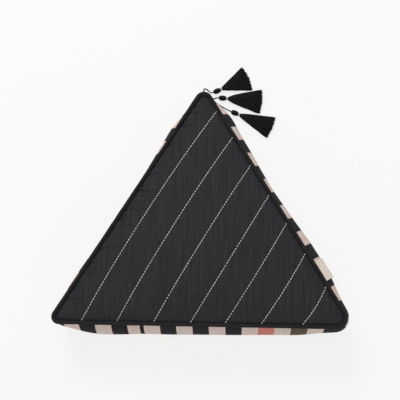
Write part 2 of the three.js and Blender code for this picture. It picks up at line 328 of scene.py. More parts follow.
# %% [markdown]
# The filled body
#
# The cover is two panels and a band, swollen by its filling. The starting form is skinned from rings: the
# front panel rises to a soft crown, the band swells between its seams, and the back is flat where it
# lies. The crown is the product of the distances to the three sides, which is how a film over a triangle
# bulges under pressure, raised to a power so that it fills out nearer the seams.

# %% Starting form
CROWN = 20.0
CROWN_FULLNESS = 0.65
BACK_ROLL = 38.0
STATIONS = 320
PANEL_RINGS = 26


def corner_shares(places):
    distances = inradius - places @ side_normals.T
    opposite = distances[:, [1, 2, 0]]
    return np.clip(opposite / corner_heights, 0, None)


def sharp_scale(directions):
    units = directions / np.linalg.norm(directions, axis=1)[:, None]
    facing = units @ side_normals.T
    reach = np.where(facing > 1e-6, inradius / np.maximum(facing, 1e-6), np.inf).min(axis=1)
    places, _, _ = seam_at(seam_run_of(directions))
    return reach / np.linalg.norm(places, axis=1)


def front_height(sharp_places):
    shares = corner_shares(sharp_places)
    return FRONT_SEAM_Z + CROWN * (27 * shares.prod(axis=1)) ** CROWN_FULLNESS


def back_height(sharp_places):
    inset = (inradius - sharp_places @ side_normals.T).min(axis=1)
    return BACK_SEAM_Z * (1 - np.clip(inset / BACK_ROLL, 0, 1)) ** 2


# %% Skin the rings
def starting_form():
    runs = np.arange(STATIONS) * seam["length"] / STATIONS
    place, normal, bulge = seam_at(runs)
    scale = sharp_scale(place)
    rings = []
    for ring in range(1, PANEL_RINGS + 1):
        share = (ring / PANEL_RINGS) ** 0.8
        rings.append(np.column_stack([place * share, back_height(place * share * scale[:, None])]))
    for level in (0.05, 0.13, 0.25, 0.4, 0.6, 0.75, 0.87, 0.95):
        out = bulge * np.sin(np.pi * level) ** 0.8
        z = np.full(STATIONS, BACK_SEAM_Z + (FRONT_SEAM_Z - BACK_SEAM_Z) * level)
        rings.append(np.column_stack([place + normal * out[:, None], z]))
    for ring in range(PANEL_RINGS, 0, -1):
        share = (ring / PANEL_RINGS) ** 0.8
        rings.append(np.column_stack([place * share, front_height(place * share * scale[:, None])]))
    points = np.vstack(rings + [[(0, 0, 0)], [(0, 0, FRONT_SEAM_Z + CROWN)]])
    faces = []
    for i in range(len(rings) - 1):
        for j in range(STATIONS):
            a, b = i * STATIONS + j, i * STATIONS + (j + 1) % STATIONS
            faces.append((a, b, b + STATIONS, a + STATIONS))
    top = (len(rings) - 1) * STATIONS
    under, over = len(points) - 2, len(points) - 1
    for j in range(STATIONS):
        faces.append((under, (j + 1) % STATIONS, j))
        faces.append((over, top + j, top + (j + 1) % STATIONS))
    return make_object("cushion_cover", points * MM, faces)


cover = starting_form()
print("starting form:", len(cover.data.vertices), "points")

# %% [markdown]
# Filling it
#
# Cloth under pressure swells more where it is far from a seam, and that soft, uneven fullness is hard to
# model by hand. So the form is remeshed to even squares and Blender's Cloth blows it up for a few frames
# with gravity off. The seams and the flat back are held still, and no point may move far, so the size
# stays true.

# %% Cloth simulation
VOXEL = 4.9
PRESSURE = 4.0
CLOTH_FRAMES = 16
MOVE_LIMIT = 4.0
HELD_NEAR_SEAM = 5.0


def points_of(mesh):
    flat = np.zeros(len(mesh.vertices) * 3)
    mesh.vertices.foreach_get("co", flat)
    return flat.reshape(-1, 3)


def set_points(mesh, points):
    mesh.vertices.foreach_set("co", np.ascontiguousarray(points, float).ravel())
    mesh.update()


# %% Remesh and inflate
def remesh(obj, voxel):
    bpy.context.view_layer.objects.active = obj
    obj.select_set(True)
    obj.data.remesh_voxel_size = voxel * MM
    obj.data.use_remesh_preserve_volume = False
    bpy.ops.object.voxel_remesh()
    obj.select_set(False)


def seam_distance(points, seam_z):
    places, normals, _ = seam_at(seam_run_of(points[:, :2]))
    outward = ((points[:, :2] - places) * normals).sum(axis=1)
    return np.hypot(outward, points[:, 2] - seam_z)


def inflate(obj):
    before = points_of(obj.data) / MM
    near = np.minimum(seam_distance(before, FRONT_SEAM_Z), seam_distance(before, BACK_SEAM_Z))
    held = (near < HELD_NEAR_SEAM) | (before[:, 2] < 1.0)
    group = obj.vertex_groups.new(name="held")
    group.add([int(i) for i in np.flatnonzero(held)], 1.0, "REPLACE")
    cloth = obj.modifiers.new("fill", "CLOTH")
    cloth.settings.quality = 5
    cloth.settings.mass = 0.3
    cloth.settings.use_pressure = True
    cloth.settings.uniform_pressure_force = PRESSURE
    cloth.settings.vertex_group_mass = "held"
    cloth.settings.effector_weights.gravity = 0.0
    cloth.collision_settings.use_collision = False
    cloth.point_cache.frame_start = 1
    cloth.point_cache.frame_end = CLOTH_FRAMES
    for step in range(1, CLOTH_FRAMES + 1):
        scene.frame_set(step)
    swollen = obj.evaluated_get(bpy.context.evaluated_depsgraph_get())
    after = points_of(swollen.data) / MM
    moved = after - before
    far = np.linalg.norm(moved, axis=1)
    moved *= np.minimum(1, MOVE_LIMIT / np.maximum(far, 1e-9))[:, None]
    obj.modifiers.remove(cloth)
    obj.vertex_groups.remove(group)
    scene.frame_set(1)
    set_points(obj.data, (before + moved) * MM)
    print("swelled by up to %.1f mm, %.1f mm on average" % (min(far.max(), MOVE_LIMIT), far.mean()))


remesh(cover, VOXEL)
inflate(cover)

# %% [markdown]
# A finer cover
#
# The sewn rows and the puckers at the seams are only a few millimetres wide, so the mesh is subdivided
# once, which also smooths the remeshed squares. It is applied at once, because the next step moves the
# new points.


# %% Subdivide
def apply_subdivision(obj, levels):
    modifier = obj.modifiers.new("finer", "SUBSURF")
    modifier.levels = levels
    modifier.render_levels = levels
    mesh = bpy.data.meshes.new_from_object(obj.evaluated_get(bpy.context.evaluated_depsgraph_get()))
    obj.modifiers.remove(modifier)
    old = obj.data
    obj.data = mesh
    bpy.data.meshes.remove(old)


apply_subdivision(cover, 1)
cover.data.shade_smooth()
print("cover:", len(cover.data.polygons), "faces")

# %% [markdown]
# Sewn rows and puckers
#
# Thread draws cloth in. Each sewn row sits in a shallow trough that runs parallel to the left side, and
# along the seams the panel gathers in short puckers where it was eased on to the piping, most of all on
# the left. Troughs are given in their own sizes: a row is a line in the triangle's own
# coordinates, and a pucker is a short soft groove that starts at the seam and fades inwards.

# %% Troughs
ROWS = [
    {"along_base": 55.7, "along_side": 48.8, "bow": 6.4},
    {"along_base": 121.1, "along_side": 108.5, "bow": 3.9},
    {"along_base": 188.7, "along_side": 172.6, "bow": 1.6},
    {"along_base": 255.9, "along_side": 239.1, "bow": -0.8},
    {"along_base": 319.1, "along_side": 301.1, "bow": -1.6},
    {"along_base": 384.7, "along_side": 366.3, "bow": -2.4},
    {"along_base": 459.4, "along_side": 437.4, "bow": -3.0},
]
ROW_DEPTH = 1.0
ROW_WIDTH = 4.5
PUCKERS = [
    {"side": 0, "first": 12, "last": 480, "spacing": 15, "reach": 24, "depth": 2.6, "slant": -0.6},
    {"side": 1, "first": 40, "last": 540, "spacing": 34, "reach": 12, "depth": 0.9, "slant": 0.0},
    {"side": 2, "first": 20, "last": 515, "spacing": 20, "reach": 17, "depth": 1.8, "slant": 0.5},
]
PUCKER_WIDTH = 2.6


def row_share(row, v):
    straight = (1 - v) * row["along_base"] / PANEL_BASE + v * row["along_side"] / side_length
    return straight - 4 * v * (1 - v) * row["bow"] / across


def row_dip(places):
    apex_share, left_share, right_share = corner_shares(places).T
    v = apex_share / np.maximum(apex_share + left_share, 1e-6)
    fade = np.minimum(1, 14 * v * (1 - v))
    dip = np.zeros(len(places))
    for row in ROWS:
        aside = (right_share - row_share(row, v)) * across
        dip += ROW_DEPTH * fade * np.exp(-(aside / ROW_WIDTH) ** 2)
    return dip


# %% Puckers
def pucker_dip(places):
    random = np.random.default_rng(SEED)
    dip = np.zeros(len(places))
    for plan in PUCKERS:
        side = plan["side"]
        inward, along = -side_normals[side], side_along[side]
        at = plan["first"]
        while at < plan["last"]:
            heading = inward + along * (plan["slant"] + random.normal(0, 0.15))
            heading /= np.linalg.norm(heading)
            start = corner_points[side] + along * at
            offset = places - start
            ahead = offset @ heading
            aside = offset @ np.array((-heading[1], heading[0]))
            reach = plan["reach"] * random.uniform(0.5, 1.4)
            depth = plan["depth"] * random.uniform(0.4, 1.3)
            width = PUCKER_WIDTH * random.uniform(0.7, 1.4)
            fade = np.exp(-(np.maximum(ahead, 0) / reach) ** 2)
            groove = np.exp(-(aside / width) ** 2)
            ridges = 0.5 * np.exp(-((np.abs(aside) - 1.8 * width) / width) ** 2)
            dip += depth * fade * (groove - ridges)
            at += plan["spacing"] * random.uniform(0.55, 1.5)
    return dip


# %% Draw the cover in
def sew_cover(obj):
    points = points_of(obj.data) / MM
    scale = sharp_scale(points[:, :2])
    sharp = points[:, :2] * scale[:, None]
    shares = corner_shares(sharp)
    on_front = np.clip((points[:, 2] - FRONT_SEAM_Z + 1) / 3, 0, 1) * (shares.min(axis=1) > 0)
    points[:, 2] -= on_front * (row_dip(sharp) + pucker_dip(sharp))
    points[:, 2] = np.maximum(points[:, 2], 0)
    set_points(obj.data, points * MM)


sew_cover(cover)
cover_tree = BVHTree.FromPolygons(
    [vertex.co for vertex in cover.data.vertices], [face.vertices for face in cover.data.polygons])

# %% [markdown]
# Stripes on the side band
#
# The band is cut across a block stripe, so its stripes stand upright round the cushion: beige and black by
# turns, with a coral or an olive one in a black one's place. Stripe widths differ a little, and one is cut
# short where two lengths of the band are joined. So each point of the cover gets a number that counts
# stripes from the apex, and the material only asks whether that count is odd or even.

# %% Stripe count
LEFT_EDGES = [2.4 + 29.85 * i for i in range(18)]
BASE_EDGES = [20.2 + 30.2 * i for i in range(5)] + [163.3, 169.9] + [200.7 + 30 * i for i in range(11)]
RIGHT_EDGES = [9.3, 19.7] + [49 + 29.6 * i for i in range(15)] + [490.2]
CORAL_STRIPES = (16, 32)
OLIVE_STRIPES = (34,)

stripe_edges = []
for side, edges in enumerate((LEFT_EDGES, BASE_EDGES, RIGHT_EDGES)):
    stripe_edges += [seam["starts"][side] + edge - reaches[side] for edge in edges]
stripe_edges = np.array(stripe_edges)


# %% Store the count on the cover
def store(mesh, name, values):
    attribute = mesh.attributes.new(name, "FLOAT", "POINT")
    attribute.data.foreach_set("value", np.ascontiguousarray(values, np.float32))


def band_runs(points):
    # A stripe stands square to the seam, so each point takes the length at the nearest seam sample.
    tree = KDTree(len(seam["place"]))
    for index, (x, y) in enumerate(seam["place"]):
        tree.insert((x, y, 0), index)
    tree.balance()
    nearest = [tree.find((x, y, 0))[1] for x, y, _ in points]
    offset = ((points[:, :2] - seam["place"][nearest]) * seam["normal"][nearest]).sum(axis=1)
    return seam["run"][nearest], offset


cover_points = points_of(cover.data) / MM
runs, outward = band_runs(cover_points)
knots = np.concatenate([[0], stripe_edges, [seam["length"]]])
store(cover.data, "stripe", np.interp(runs, knots, np.arange(len(knots))))
store(cover.data, "along", runs * MM)
print(len(stripe_edges), "stripe edges round the band")

# %% [markdown]
# Cloth materials
#
# Canvas is never one flat colour: threads vary in tone and thickness, so long thin streaks run with the
# warp and shorter ones with the weft. One function makes that tone and a small height from any flat
# coordinates in metres. The weave is drawn about twice as coarse as real canvas, so that it still shows
# from a metre and a half away.

# %% Canvas
WEAVE_PITCH = 1.7
STREAK_WIDTH = 2.1


def new_material(name, roughness=0.9, sheen=0.0):
    material = bpy.data.materials.new(name)
    material.use_nodes = True
    tree = material.node_tree
    tree.nodes.clear()
    shader = add(tree, "ShaderNodeBsdfPrincipled",
                 {"Roughness": roughness, "Specular IOR Level": 0.15, "Sheen Weight": sheen})
    add(tree, "ShaderNodeOutputMaterial", {"Surface": shader.outputs["BSDF"]})
    return material, tree, shader


def calc(tree, operation, *values):
    return add(tree, "ShaderNodeMath", dict(enumerate(values)), operation=operation).outputs[0]


def mix(tree, share, first, second):
    return add(tree, "ShaderNodeMix", {0: share, 6: first, 7: second}, data_type="RGBA").outputs[2]


def streaks(tree, flat, across_size, along_size):
    counts = (1 / (across_size * MM), 1 / (along_size * MM), 1.0)
    stretched = add(tree, "ShaderNodeVectorMath", {0: flat, 1: counts}, operation="MULTIPLY").outputs[0]
    noise = add(tree, "ShaderNodeTexNoise", {"Vector": stretched, "Scale": 1.0, "Detail": 2.0})
    return noise.outputs[0]


# %% Threads
def canvas_threads(tree, flat):
    warp = streaks(tree, flat, STREAK_WIDTH, 70)
    weft = streaks(tree, flat, 16, STREAK_WIDTH)
    fleck = streaks(tree, flat, 2.0, 3.5)
    tone = calc(tree, "MULTIPLY_ADD", warp, 0.52, calc(tree, "MULTIPLY", weft, 0.26))
    tone = calc(tree, "MULTIPLY_ADD", fleck, 0.22, tone)
    split = add(tree, "ShaderNodeSeparateXYZ", {0: flat}).outputs
    turn = 2 * math.pi / (WEAVE_PITCH * MM)
    over = calc(tree, "SINE", calc(tree, "MULTIPLY", split["X"], turn))
    under = calc(tree, "SINE", calc(tree, "MULTIPLY", split["Y"], turn))
    height = calc(tree, "MULTIPLY_ADD", calc(tree, "MULTIPLY", over, under), 0.25, tone)
    return tone, height


def raise_threads(tree, shader, height, depth, strength=0.6):
    bump = add(tree, "ShaderNodeBump", {"Height": height, "Distance": depth * MM, "Strength": strength})
    tree.links.new(bump.outputs[0], shader.inputs["Normal"])


def widen(tree, tone, low, high):
    return add(tree, "ShaderNodeMapRange", {0: tone, 1: low, 2: high}).outputs[0]


def charcoal_canvas():
    material, tree, shader = new_material("charcoal canvas", 0.92)
    flat = add(tree, "ShaderNodeTexCoord").outputs["Object"]
    tone, height = canvas_threads(tree, flat)
    colour = mix(tree, widen(tree, tone, 0.3, 0.7), linear("#1b1b1d"), linear("#363639"))
    tree.links.new(colour, shader.inputs["Base Color"])
    raise_threads(tree, shader, height, 0.5)
    return material


# %% Striped canvas
def striped_canvas():
    material, tree, shader = new_material("block-striped canvas", 0.92)
    stripe = add(tree, "ShaderNodeAttribute", attribute_name="stripe").outputs["Fac"]
    along = add(tree, "ShaderNodeAttribute", attribute_name="along").outputs["Fac"]
    place = add(tree, "ShaderNodeTexCoord").outputs["Object"]
    rise = add(tree, "ShaderNodeSeparateXYZ", {0: place}).outputs["Z"]
    flat = add(tree, "ShaderNodeCombineXYZ", {"X": along, "Y": rise}).outputs[0]
    tone, height = canvas_threads(tree, flat)
    frayed = calc(tree, "MULTIPLY_ADD", tone, 0.05, stripe)
    count = calc(tree, "FLOOR", frayed)
    beige = mix(tree, widen(tree, tone, 0.3, 0.7), linear("#bbaaa0"), linear("#d8c7be"))
    black = mix(tree, widen(tree, tone, 0.3, 0.7), linear("#18181a"), linear("#262628"))
    coral = mix(tree, widen(tree, tone, 0.3, 0.7), linear("#b0685f"), linear("#cc8479"))
    olive = mix(tree, widen(tree, tone, 0.3, 0.7), linear("#4f4234"), linear("#665745"))
    colour = mix(tree, calc(tree, "MODULO", count, 2.0), black, beige)
    for accent, stripes in ((coral, CORAL_STRIPES), (olive, OLIVE_STRIPES)):
        for number in stripes:
            colour = mix(tree, calc(tree, "COMPARE", count, float(number), 0.5), colour, accent)
    tree.links.new(colour, shader.inputs["Base Color"])
    raise_threads(tree, shader, height, 0.5)
    return material


cover.data.materials.clear()
cover.data.materials.append(charcoal_canvas())
cover.data.materials.append(striped_canvas())
for face in cover.data.polygons:
    between = BACK_SEAM_Z * MM < face.center.z < FRONT_SEAM_Z * MM
    face.material_index = int(between and min(outward[i] for i in face.vertices) > 0)
print("band faces:", sum(face.material_index for face in cover.data.polygons))

# %% [markdown]
# Piping
#
# Piping is a cord in a folded strip cut on the bias, caught in each seam. It is a tube swept round the seam
# line, just outside and above the panel's edge, and a little sunk into the cover. Hand sewing leaves it
# slightly uneven, so its height and thickness wander by fractions of a millimetre, from a few sine waves
# with seeded phases that close round the loop.

# %% Piping
PIPING_RADIUS = 3.5
PIPING_OUT = 2.6
PIPING_RISE = 2.2
PIPING_STEP = 2.0
PIPING_SIDES = 14


def wander(runs, size, random):
    waves = np.zeros(len(runs))
    for count in (7, 13, 22, 37, 61):
        waves += np.sin(2 * np.pi * (count * runs / seam["length"] + random.random())) / 3
    return size * waves


def piping(name, seam_z, rise, seed):
    random = np.random.default_rng(seed)
    stations = int(seam["length"] / PIPING_STEP)
    runs = np.arange(stations) * seam["length"] / stations
    place, normal, _ = seam_at(runs)
    centre = np.column_stack([place + normal * PIPING_OUT, seam_z + rise + wander(runs, 0.3, random)])
    radius = PIPING_RADIUS + wander(runs, 0.16, random)
    turns = np.linspace(0, 2 * np.pi, PIPING_SIDES, endpoint=False) + np.pi
    outs = np.column_stack([normal, np.zeros(stations)])
    upright = np.array((0.0, 0.0, 1.0))
    ring = np.cos(turns)[None, :, None] * outs[:, None] + np.sin(turns)[None, :, None] * upright
    points = (centre[:, None] + ring * radius[:, None, None]).reshape(-1, 3)
    faces = []
    for i in range(stations):
        for j in range(PIPING_SIDES):
            a, b = i * PIPING_SIDES, (i + 1) % stations * PIPING_SIDES
            faces.append((a + j, b + j, b + (j + 1) % PIPING_SIDES, a + (j + 1) % PIPING_SIDES))
    obj = make_object(name, points * MM, faces)
    store(obj.data, "along", np.repeat(runs, PIPING_SIDES) * MM)
    store(obj.data, "around", np.tile(turns * PIPING_RADIUS, stations) * MM)
    return obj


# %% Bias cloth
def bias_canvas():
    material, tree, shader = new_material("black bias canvas", 0.9)
    along = add(tree, "ShaderNodeAttribute", attribute_name="along").outputs["Fac"]
    around = add(tree, "ShaderNodeAttribute", attribute_name="around").outputs["Fac"]
    flat = add(tree, "ShaderNodeCombineXYZ", {"X": calc(tree, "ADD", along, around),
                                              "Y": calc(tree, "SUBTRACT", along, around)}).outputs[0]
    tone, height = canvas_threads(tree, flat)
    colour = mix(tree, widen(tree, tone, 0.3, 0.7), linear("#18181a"), linear("#28282a"))
    tree.links.new(colour, shader.inputs["Base Color"])
    raise_threads(tree, shader, height, 0.5)
    return material


front_piping = piping("front_piping_cord", FRONT_SEAM_Z, PIPING_RISE, 11)
back_piping = piping("back_piping_cord", BACK_SEAM_Z, -PIPING_RISE, 12)
piping_cloth = bias_canvas()
for obj in (front_piping, back_piping):
    obj.data.materials.append(piping_cloth)

# %% [markdown]
# Running stitch
#
# Seven rows of thick off-white thread go in and out of the front, one stitch every 6 mm. Each row starts
# as a line laid on the cover's surface. A small node tree then does what a hand does: it walks the line
# at an even pitch, turns a short rounded stitch along it and varies each a little. Its sizes are named
# inputs, so another cushion could use it unchanged.

# %% Row lines
STITCH = {"Pitch": 6.0 * MM, "Length": 5.4 * MM, "Width": 1.1 * MM, "Height": 1.2 * MM}
ROW_MARGIN = 2.5
LINE_STEP = 3.0


def row_lines():
    points, edges = [], []
    for row in ROWS:
        v = np.linspace(0.001, 0.999, 400)
        u = row_share(row, v)
        shares = np.column_stack([(1 - u) * v, (1 - u) * (1 - v), u])
        line = shares @ corner_points
        inset = (inradius - line @ side_normals.T).min(axis=1)
        line = line[inset > ROW_MARGIN]
        first = len(points)
        for x, y in line:
            hit = cover_tree.ray_cast(Vector((x, y, 200)) * MM, Vector((0, 0, -1)))[0]
            points.append(hit + Vector((0, 0, 0.3 * MM)))
        edges += [(i, i + 1) for i in range(first, len(points) - 1)]
    mesh = bpy.data.meshes.new("running_stitch")
    mesh.from_pydata(points, edges, [])
    obj = bpy.data.objects.new("running_stitch", mesh)
    scene.collection.objects.link(obj)
    return obj


stitches = row_lines()


# %% Stitch nodes
def node_tree(name, inputs):
    tree = bpy.data.node_groups.new(name, "GeometryNodeTree")
    tree.interface.new_socket("Geometry", in_out="INPUT", socket_type="NodeSocketGeometry")
    for label in inputs:
        tree.interface.new_socket(label, in_out="INPUT", socket_type="NodeSocketFloat")
    tree.interface.new_socket("Geometry", in_out="OUTPUT", socket_type="NodeSocketGeometry")
    return tree, tree.nodes.new("NodeGroupInput").outputs


def random_value(tree, low, high, seed):
    node = add(tree, "FunctionNodeRandomValue", {"Seed": SEED + seed}, data_type="FLOAT")
    node.inputs[2].default_value = low
    node.inputs[3].default_value = high
    return node.outputs[1]


def end_tree(tree, geometry, material):
    real = add(tree, "GeometryNodeRealizeInstances", {0: geometry}).outputs[0]
    smooth = add(tree, "GeometryNodeSetShadeSmooth", {0: real}).outputs[0]
    painted = add(tree, "GeometryNodeSetMaterial", {0: smooth, "Material": material}).outputs[0]
    add(tree, "NodeGroupOutput", {0: painted})


def grow(obj, tree, values, material):
    modifier = obj.modifiers.new("nodes", "NODES")
    modifier.node_group = tree
    for item in tree.interface.items_tree:
        if item.in_out == "INPUT" and item.name in values:
            modifier[item.identifier] = values[item.name]
    mesh = bpy.data.meshes.new_from_object(obj.evaluated_get(bpy.context.evaluated_depsgraph_get()))
    mesh.materials.clear()
    mesh.materials.append(material)
    mesh.polygons.foreach_set("material_index", [0] * len(mesh.polygons))
    obj.modifiers.remove(modifier)
    obj.data = mesh


def cotton_thread(name, dark, light):
    material, tree, shader = new_material(name, 0.8)
    place = add(tree, "ShaderNodeTexCoord").outputs["Object"]
    fibre = add(tree, "ShaderNodeTexNoise", {"Vector": place, "Scale": 1 / (1.2 * MM), "Detail": 2.0})
    colour = mix(tree, widen(tree, fibre.outputs[0], 0.3, 0.7), linear(dark), linear(light))
    tree.links.new(colour, shader.inputs["Base Color"])
    raise_threads(tree, shader, fibre.outputs[0], 0.2)
    return material


# %% Stitch tree
def stitch_tree(material):
    tree, given = node_tree("running stitch", STITCH)
    line = add(tree, "GeometryNodeMeshToCurve", {"Mesh": given["Geometry"]}).outputs[0]
    spots = add(tree, "GeometryNodeResampleCurve", {"Curve": line, "Length": given["Pitch"]}, mode="LENGTH")
    heading = add(tree, "GeometryNodeInputTangent").outputs[0]
    turned = add(tree, "FunctionNodeAlignRotationToVector", {"Vector": heading}, axis="X").outputs[0]
    sway = add(tree, "ShaderNodeCombineXYZ", {"Z": random_value(tree, -0.07, 0.07, 1)}).outputs[0]
    swayed = add(tree, "FunctionNodeRotateRotation", {0: turned, 1: sway}, rotation_space="LOCAL")
    bead = add(tree, "GeometryNodeMeshUVSphere", {"Segments": 12, "Rings": 8, "Radius": 0.5}).outputs[0]
    sizes = {"X": given["Length"], "Y": given["Width"], "Z": given["Height"]}
    size = add(tree, "ShaderNodeCombineXYZ", sizes)
    stitch = add(tree, "GeometryNodeTransform", {"Geometry": bead, "Scale": size.outputs[0]}).outputs[0]
    vary = add(tree, "ShaderNodeCombineXYZ", {"X": random_value(tree, 0.82, 1.1, 2), "Y": 1.0, "Z": 1.0})
    placed = add(tree, "GeometryNodeInstanceOnPoints", {
        "Points": spots.outputs[0], "Instance": stitch, "Rotation": swayed.outputs[0],
        "Scale": vary.outputs[0]})
    end_tree(tree, placed.outputs[0], material)
    return tree


off_white_thread = cotton_thread("off-white cotton thread", "#c9c8c5", "#efeeec")
grow(stitches, stitch_tree(off_white_thread), STITCH, off_white_thread)
print("running stitch:", len(stitches.data.polygons), "faces")

# %% [markdown]
# Tassels
#
# A tassel is a bundle of yarn folded over its cord, wound tight under the fold and left loose below. Here
# the head is a ball with slanting wound ridges, the neck a few turns of pale thread over a core, and the
# skirt a fan of strands that lies flat on the floor. The strands come from a second node tree, whose inputs
# are the fan's sizes, so the three skirts share one recipe.

# %% Tassel heads and necks
HEAD_LENGTH = 16.0
HEAD_RADIUS = 5.6
NECK_LENGTH = 3.4
NECK_RADIUS = 3.2
NECK_TURNS = 4
NECK_THREAD = 0.45
HEAD_RIDGES = 16


def lay(tassel, points):
    turn = math.radians(tassel["turn"])
    points = np.asarray(points, float)
    x = tassel["head"][0] + points[:, 0] * math.cos(turn) - points[:, 1] * math.sin(turn)
    y = tassel["head"][1] + points[:, 0] * math.sin(turn) + points[:, 1] * math.cos(turn)
    return np.column_stack([x, y, points[:, 2]]) * MM


def head_points(rings, spokes):
    points = []
    for ring in range(rings + 1):
        share = np.clip(ring / rings, 0.015, 0.985)
        around = 2 * np.pi * np.arange(spokes) / spokes
        ridge = 1 - 0.1 * np.abs(np.sin(around * HEAD_RIDGES / 2 + 5 * share)) ** 0.7
        radius = HEAD_RADIUS * math.sin(math.pi * share) ** 0.62 * ridge
        x = np.full(spokes, -math.cos(math.pi * share) * HEAD_LENGTH / 2)
        points.append(np.column_stack([x, np.cos(around) * radius, HEAD_RADIUS + np.sin(around) * radius]))
    return np.vstack(points)


def skin(rings, spokes):
    faces = []
    for i in range(rings):
        for j in range(spokes):
            a, b = i * spokes + j, i * spokes + (j + 1) % spokes
            faces.append((a, b, b + spokes, a + spokes))
    faces.append(tuple(range(spokes))[::-1])
    faces.append(tuple(rings * spokes + j for j in range(spokes)))
    return faces


# %% Head and neck pieces
def tassel_head(tassel):
    rings, spokes = 26, 96
    points = lay(tassel, head_points(rings, spokes))
    return make_object(tassel["name"] + "_wound_head", points, skin(rings, spokes))


def tassel_neck(tassel):
    start = HEAD_LENGTH / 2 - 0.4
    turns = np.linspace(0, 2 * np.pi * NECK_TURNS, 24 * NECK_TURNS)
    orbit = NECK_RADIUS - NECK_THREAD
    x = start + NECK_THREAD + turns / turns[-1] * (NECK_LENGTH + 0.8 - 2 * NECK_THREAD)
    coil = np.column_stack([x, np.cos(turns) * orbit, HEAD_RADIUS + np.sin(turns) * orbit])
    points, faces = sweep(coil, NECK_THREAD, 6)
    core = np.array([(start - 0.5, 0, HEAD_RADIUS), (start + NECK_LENGTH + 1.5, 0, HEAD_RADIUS)])
    rod, rod_faces = sweep(core, orbit, 16, len(points))
    placed = lay(tassel, np.vstack([points, rod]))
    return make_object(tassel["name"] + "_wound_neck", placed, faces + rod_faces)


# %% Tassel skirts
SKIRT_START = HEAD_LENGTH / 2 + NECK_LENGTH + 0.6
SKIRT_HEIGHT = 10.0
STRANDS = 340
YARN_RADIUS = 0.62
STRAND_WAVE = 1.0
SKIRT_INPUTS = ("Strands", "Length", "Half width", "Height", "Neck", "Yarn radius", "Wave")


def skirt_tree(material):
    tree, given = node_tree("yarn skirt", SKIRT_INPUTS)
    side = random_value(tree, -1.0, 1.0, 3)
    level = random_value(tree, 0.0, 1.0, 4)
    yaw = calc(tree, "ARCTAN2", calc(tree, "MULTIPLY", side, given["Half width"]), given["Length"])
    rim = calc(tree, "SQRT", calc(tree, "SUBTRACT", 1.0, calc(tree, "MULTIPLY", side, side)))
    swing = calc(tree, "MULTIPLY", rim, calc(tree, "MULTIPLY_ADD", level, 2.0, -1.0))
    start_z = calc(tree, "MULTIPLY_ADD", swing, given["Neck"], HEAD_RADIUS * MM)
    room = calc(tree, "MULTIPLY_ADD", calc(tree, "MULTIPLY", side, side), -0.45, 1.0)
    share_up = calc(tree, "MULTIPLY", level, room)
    end_z = calc(tree, "MULTIPLY_ADD", share_up, given["Height"], given["Yarn radius"])
    reach = calc(tree, "DIVIDE", given["Length"], calc(tree, "POWER", calc(tree, "COSINE", yaw), 0.25))
    reach = calc(tree, "MULTIPLY", reach, random_value(tree, 0.9, 1.0, 5))
    pitch = calc(tree, "ARCTAN2", calc(tree, "SUBTRACT", start_z, end_z), reach)
    start_y = calc(tree, "MULTIPLY", side, given["Neck"])
    spot = add(tree, "ShaderNodeCombineXYZ", {"Y": start_y, "Z": start_z})
    turn = add(tree, "ShaderNodeCombineXYZ", {"X": random_value(tree, 0, 6.28, 6), "Y": pitch, "Z": yaw})
    count = add(tree, "FunctionNodeFloatToInt", {0: given["Strands"]}).outputs[0]
    spots = add(tree, "GeometryNodePoints", {"Count": count, "Position": spot.outputs[0]}).outputs[0]
    line = add(tree, "GeometryNodeCurvePrimitiveLine", {"End": (1.0, 0.0, 0.0)}).outputs[0]
    line = add(tree, "GeometryNodeResampleCurve", {"Curve": line, "Count": 10}).outputs[0]
    share = add(tree, "GeometryNodeSplineParameter").outputs["Factor"]
    ripple = calc(tree, "SINE", calc(tree, "MULTIPLY", share, 9.0))
    bend = add(tree, "ShaderNodeCombineXYZ", {
        "Y": calc(tree, "MULTIPLY", calc(tree, "MULTIPLY", ripple, share), given["Wave"])}).outputs[0]
    line = add(tree, "GeometryNodeSetPosition", {"Geometry": line, "Offset": bend}).outputs[0]
    ring = add(tree, "GeometryNodeCurvePrimitiveCircle", {"Resolution": 6, "Radius": given["Yarn radius"]})
    strand = add(tree, "GeometryNodeCurveToMesh", {
        "Curve": line, "Profile Curve": ring.outputs[0], "Fill Caps": True}).outputs[0]
    stretch = add(tree, "ShaderNodeCombineXYZ", {"X": reach, "Y": 1.0, "Z": 1.0}).outputs[0]
    placed = add(tree, "GeometryNodeInstanceOnPoints", {
        "Points": spots, "Instance": strand, "Rotation": turn.outputs[0], "Scale": stretch})
    end_tree(tree, placed.outputs[0], material)
    return tree


# %% Bell shape and core
def bell(tassel, x):
    share = np.clip((x - SKIRT_START) / tassel["length"], 0, 1)
    spread = tassel["width"] / 2 - NECK_RADIUS
    return (NECK_RADIUS + spread * share ** tassel["bell"]) / (NECK_RADIUS + spread * share)


def skirt_core(tassel):
    stations, spokes = 10, 20
    points = []
    for i in range(stations + 1):
        share = i / stations
        half = (NECK_RADIUS * 0.8) * (1 - share) + tassel["width"] * 0.43 * share
        tall = (NECK_RADIUS * 0.8) * (1 - share) + SKIRT_HEIGHT * 0.36 * share
        middle = HEAD_RADIUS * (1 - share) + SKIRT_HEIGHT * 0.42 * share
        around = 2 * np.pi * np.arange(spokes) / spokes
        x = np.full(spokes, SKIRT_START + tassel["length"] * 0.9 * share)
        points.append(np.column_stack([x, np.cos(around) * half, middle + np.sin(around) * tall]))
    return np.vstack(points), skin(stations, spokes)


